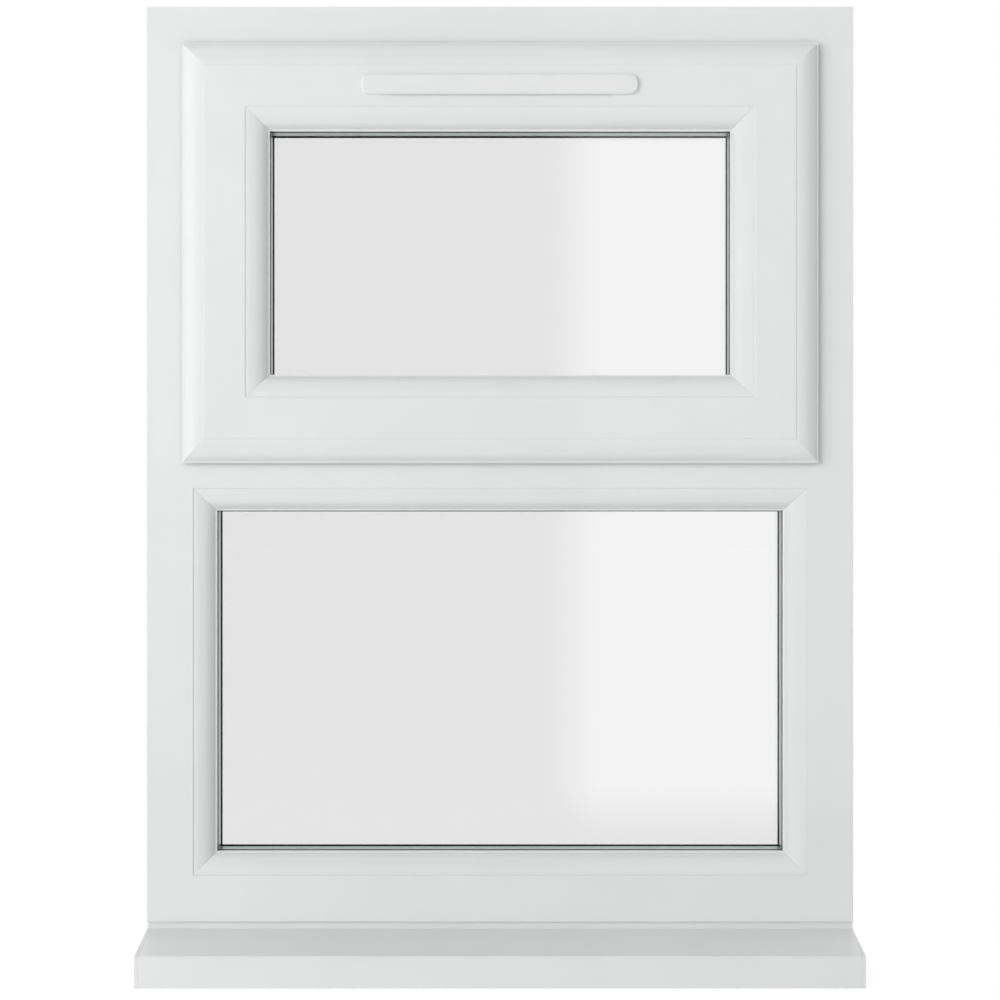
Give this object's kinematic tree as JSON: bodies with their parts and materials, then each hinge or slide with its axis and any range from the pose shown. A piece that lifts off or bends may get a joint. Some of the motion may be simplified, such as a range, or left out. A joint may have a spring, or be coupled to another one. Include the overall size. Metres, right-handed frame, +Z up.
{
  "type": "top hung window",
  "caption": "White top hung window: a sash that swings out at the bottom over a fixed light, in a frame on a projecting cill, with a trickle vent in the sash.",
  "frame": {"origin": "middle of the width, at the outer face of the frame, on the bearing face under the cill", "axes": "+X along the width to the right seen from outside, +Y from outside into the room, +Z up"},
  "size_m": [0.61, 0.164, 0.833],
  "materials": {
    "white_upvc": "smooth extruded white PVC with a soft gloss",
    "white_abs": "moulded white plastic, satin",
    "white_enamel": "white powder coat on die-cast metal",
    "float_glass": "clear float glass",
    "black_rubber": "matt black sealing rubber",
    "galvanised_steel": "folded galvanised sheet",
    "zinc_plated_steel": "bright zinc plate",
    "stainless_steel": "rolled stainless strip",
    "spacer_aluminium": "mill finish with a dull face",
    "grey_packer_plastic": "moulded grey plastic",
    "stay_brass": "plain brass",
    "button_chrome": "bright chrome"
  },
  "bodies": {
    "frame": {"outer_frame": "white_upvc", "head_reinforcement": "galvanised_steel", "sill_reinforcement": "galvanised_steel", "left_jamb_reinforcement": "galvanised_steel", "right_jamb_reinforcement": "galvanised_steel", "transom_reinforcement": "galvanised_steel", "cill": "white_upvc", "left_cill_cap": "white_upvc", "right_cill_cap": "white_upvc", "cill_screws": "zinc_plated_steel", "fixed_outer_pane": "float_glass", "fixed_inner_pane": "float_glass", "fixed_spacer_bar": "spacer_aluminium", "fixed_outer_gasket": "black_rubber", "fixed_inner_gasket": "black_rubber", "fixed_head_bead": "white_upvc", "fixed_sill_bead": "white_upvc", "fixed_left_bead": "white_upvc", "fixed_right_bead": "white_upvc", "fixed_packers": "grey_packer_plastic", "frame_seal": "black_rubber", "left_stay_track": "stainless_steel", "right_stay_track": "stainless_steel", "track_screws": "zinc_plated_steel", "keeps": "stainless_steel", "keep_screws": "zinc_plated_steel"},
    "sash": {"sash": "white_upvc", "left_stile_reinforcement": "galvanised_steel", "right_stile_reinforcement": "galvanised_steel", "sash_seal": "black_rubber", "sash_outer_pane": "float_glass", "sash_inner_pane": "float_glass", "sash_spacer_bar": "spacer_aluminium", "sash_outer_gasket": "black_rubber", "sash_inner_gasket": "black_rubber", "sash_head_bead": "white_upvc", "sash_sill_bead": "white_upvc", "sash_left_bead": "white_upvc", "sash_right_bead": "white_upvc", "sash_packers": "grey_packer_plastic", "left_stay_bar": "stainless_steel", "right_stay_bar": "stainless_steel", "bar_screws": "zinc_plated_steel", "espag_faceplate": "stainless_steel", "espag_gearbox": "stainless_steel", "handle_base": "white_enamel", "handle_screws": "zinc_plated_steel", "vent_canopy": "white_abs", "vent_body": "white_abs", "vent_screws": "zinc_plated_steel"},
    "left_arm": {"left_stay_arm": "stainless_steel"},
    "right_arm": {"right_stay_arm": "stainless_steel"},
    "left_shoe": {"left_stay_shoe": "stay_brass"},
    "right_shoe": {"right_stay_shoe": "stay_brass"},
    "lock_rod": {"espag_rod": "stainless_steel"},
    "handle": {"handle_lever": "white_enamel", "handle_spindle": "zinc_plated_steel"},
    "button": {"handle_button": "button_chrome"},
    "flap": {"vent_flap": "white_abs"}
  },
  "joints": [
    {"name": "sash_swing", "type": "hinge", "parent": "frame", "child": "sash", "pos_m": [0, 0.008, 0.7945], "axis": [-1, 0, 0], "range_deg": [0, 45]},
    {"name": "left_arm_pivot", "type": "hinge", "parent": "sash", "child": "left_arm", "pos_m": [-0.258, 0.008, 0.6745], "axis": [-1, 0, 0], "range_deg": [-90, 0]},
    {"name": "left_shoe_pivot", "type": "hinge", "parent": "left_arm", "child": "left_shoe", "pos_m": [-0.258, 0.008, 0.5545], "axis": [-1, 0, 0], "range_deg": [0, 45]},
    {"name": "right_arm_pivot", "type": "hinge", "parent": "sash", "child": "right_arm", "pos_m": [0.258, 0.008, 0.6745], "axis": [-1, 0, 0], "range_deg": [-90, 0]},
    {"name": "right_shoe_pivot", "type": "hinge", "parent": "right_arm", "child": "right_shoe", "pos_m": [0.258, 0.008, 0.5545], "axis": [-1, 0, 0], "range_deg": [0, 45]},
    {"name": "handle_turn", "type": "hinge", "parent": "sash", "child": "handle", "pos_m": [0, 0.07, 0.473], "axis": [0, -1, 0], "range_deg": [0, 90]},
    {"name": "rod_slide", "type": "slide", "parent": "sash", "child": "lock_rod", "axis": [1, 0, 0], "range_m": [0, 0.018]},
    {"name": "button_press", "type": "slide", "parent": "handle", "child": "button", "axis": [0, -1, 0], "range_m": [0, 0.003], "stiffness_N_per_m": 300},
    {"name": "flap_tilt", "type": "hinge", "parent": "sash", "child": "flap", "pos_m": [0, 0.0659, 0.737], "axis": [-1, 0, 0], "range_deg": [0, 40]}
  ],
  "couplings": [
    {"joint": "left_arm_pivot", "follows": "sash_swing", "ratio": -2},
    {"joint": "left_shoe_pivot", "follows": "sash_swing", "ratio": 1},
    {"joint": "right_arm_pivot", "follows": "sash_swing", "ratio": -2},
    {"joint": "right_shoe_pivot", "follows": "sash_swing", "ratio": 1},
    {"joint": "rod_slide", "follows": "handle_turn", "m_per_rad": 0.011459}
  ]
}
